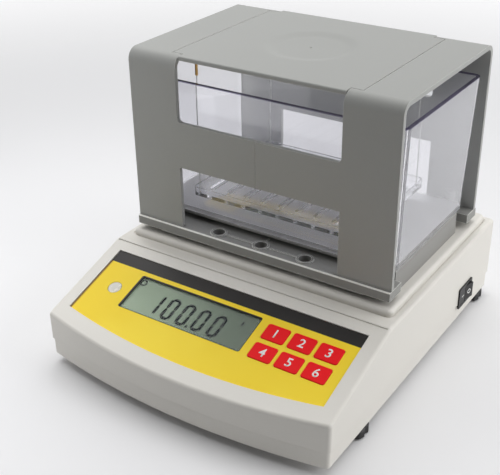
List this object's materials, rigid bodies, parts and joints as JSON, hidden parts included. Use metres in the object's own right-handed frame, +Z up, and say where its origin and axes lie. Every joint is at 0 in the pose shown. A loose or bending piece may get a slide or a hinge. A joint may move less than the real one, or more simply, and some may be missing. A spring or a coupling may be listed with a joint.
{
  "type": "electronic gold tester",
  "caption": "Counter-top precious-metal density tester: sloped keypad and display, grey weighing frame with air plate, clear water tank and hanging tray.",
  "frame": {"origin": "on the table under the middle of the housing's footprint", "axes": "+Z up, -Y towards the user (the sloped panel), +X to the user's right"},
  "size_m": [0.205, 0.238, 0.1851],
  "materials": {
    "housing_beige": "fine-textured ABS",
    "overlay_yellow": "printed polyester film",
    "clear_lens": "clear window",
    "lcd_grey": "reflective display glass",
    "backlight_white": "light guide",
    "board_green": "solder resist",
    "key_red": "moulded keys",
    "switch_black": "black nylon",
    "vial_clear": "liquid-filled vial",
    "frame_grey": "grey ABS",
    "bench_grey": "grey ABS",
    "tank_clear": "clear acrylic, polished",
    "ferrule_brass": "turned brass",
    "wire_steel": "stainless",
    "cell_aluminium": "machined",
    "pad_rubber": "soft rubber",
    "foot_black": "black nylon"
  },
  "bodies": {
    "base": {"lower_housing": "housing_beige", "upper_housing": "housing_beige", "control_overlay": "overlay_yellow", "lcd_lens": "clear_lens", "lcd_panel": "lcd_grey", "lcd_backlight": "backlight_white", "display_board": "board_green", "display_bosses": "housing_beige", "display_screws": "wire_steel", "tact_switches": "switch_black", "level_window": "clear_lens", "level_vial": "vial_clear", "level_holder": "housing_beige", "tank_bench": "bench_grey", "load_cell": "cell_aluminium", "load_cell_base": "cell_aluminium", "load_cell_bolts": "wire_steel", "overload_stops": "wire_steel", "main_board": "board_green", "board_screws": "wire_steel", "board_chips": "switch_black", "power_switch_body": "switch_black", "switch_terminals": "wire_steel", "dc_inlet": "switch_black", "foot_inserts": "ferrule_brass", "housing_screws": "wire_steel"},
    "weighing_frame": {"pan_bolts": "wire_steel", "pan_support": "cell_aluminium", "support_posts": "cell_aluminium", "support_pads": "pad_rubber", "floor_plate": "frame_grey", "frame_left": "frame_grey", "frame_right": "frame_grey", "frame_screws": "wire_steel"},
    "top_pan": {"top_plate": "frame_grey", "hanger_ferrules": "ferrule_brass", "hanger_wires": "wire_steel", "basket_tray": "tank_clear"},
    "tank": {"water_tank": "tank_clear"},
    "rocker": {"power_rocker": "switch_black"},
    "key_1": {"key_1": "key_red"},
    "key_2": {"key_2": "key_red"},
    "key_3": {"key_3": "key_red"},
    "key_4": {"key_4": "key_red"},
    "key_5": {"key_5": "key_red"},
    "key_6": {"key_6": "key_red"},
    "levelling_foot_front_left": {"foot_front_left": "foot_black", "foot_pad_front_left": "pad_rubber"},
    "levelling_foot_front_right": {"foot_front_right": "foot_black", "foot_pad_front_right": "pad_rubber"},
    "levelling_foot_rear_left": {"foot_rear_left": "foot_black", "foot_pad_rear_left": "pad_rubber"},
    "levelling_foot_rear_right": {"foot_rear_right": "foot_black", "foot_pad_rear_right": "pad_rubber"}
  },
  "joints": [
    {"name": "weighing_travel", "type": "slide", "parent": "base", "child": "weighing_frame", "axis": [0, 0, 1], "range_m": [-0.0005, 0.0002], "stiffness_N_per_m": 9800, "springref_m": 0.0003, "deforming": ["load_cell"]},
    {"name": "top_plate_lift", "type": "slide", "parent": "weighing_frame", "child": "top_pan", "axis": [0, 0, 1], "range_m": [0, 0.12]},
    {"name": "tank_shift", "type": "slide", "parent": "base", "child": "tank", "axis": [1, 0, 0], "range_m": [-0.02, 0.02]},
    {"name": "power_rock", "type": "hinge", "parent": "base", "child": "rocker", "pos_m": [0.101, 0.0737, 0.0224], "axis": [0, 0, 1], "range_deg": [0, 12]},
    {"name": "key_1_press", "type": "slide", "parent": "base", "child": "key_1", "axis": [0, 0.3042, -0.9526], "range_m": [0, 0.0005], "stiffness_N_per_m": 600, "springref_m": -0.0004},
    {"name": "key_2_press", "type": "slide", "parent": "base", "child": "key_2", "axis": [0, 0.3042, -0.9526], "range_m": [0, 0.0005], "stiffness_N_per_m": 600, "springref_m": -0.0004},
    {"name": "key_3_press", "type": "slide", "parent": "base", "child": "key_3", "axis": [0, 0.3042, -0.9526], "range_m": [0, 0.0005], "stiffness_N_per_m": 600, "springref_m": -0.0004},
    {"name": "key_4_press", "type": "slide", "parent": "base", "child": "key_4", "axis": [0, 0.3042, -0.9526], "range_m": [0, 0.0005], "stiffness_N_per_m": 600, "springref_m": -0.0004},
    {"name": "key_5_press", "type": "slide", "parent": "base", "child": "key_5", "axis": [0, 0.3042, -0.9526], "range_m": [0, 0.0005], "stiffness_N_per_m": 600, "springref_m": -0.0004},
    {"name": "key_6_press", "type": "slide", "parent": "base", "child": "key_6", "axis": [0, 0.3042, -0.9526], "range_m": [0, 0.0005], "stiffness_N_per_m": 600, "springref_m": -0.0004},
    {"name": "foot_front_left_turn", "type": "hinge", "parent": "base", "child": "levelling_foot_front_left", "pos_m": [-0.0905, -0.066, 0.004], "axis": [0, 0, 1], "range_deg": [-180, 180]},
    {"name": "foot_front_right_turn", "type": "hinge", "parent": "base", "child": "levelling_foot_front_right", "pos_m": [0.0905, -0.066, 0.004], "axis": [0, 0, 1], "range_deg": [-180, 180]},
    {"name": "foot_rear_left_turn", "type": "hinge", "parent": "base", "child": "levelling_foot_rear_left", "pos_m": [-0.0905, 0.1065, 0.004], "axis": [0, 0, 1], "range_deg": [-180, 180]},
    {"name": "foot_rear_right_turn", "type": "hinge", "parent": "base", "child": "levelling_foot_rear_right", "pos_m": [0.0905, 0.1065, 0.004], "axis": [0, 0, 1], "range_deg": [-180, 180]}
  ]
}
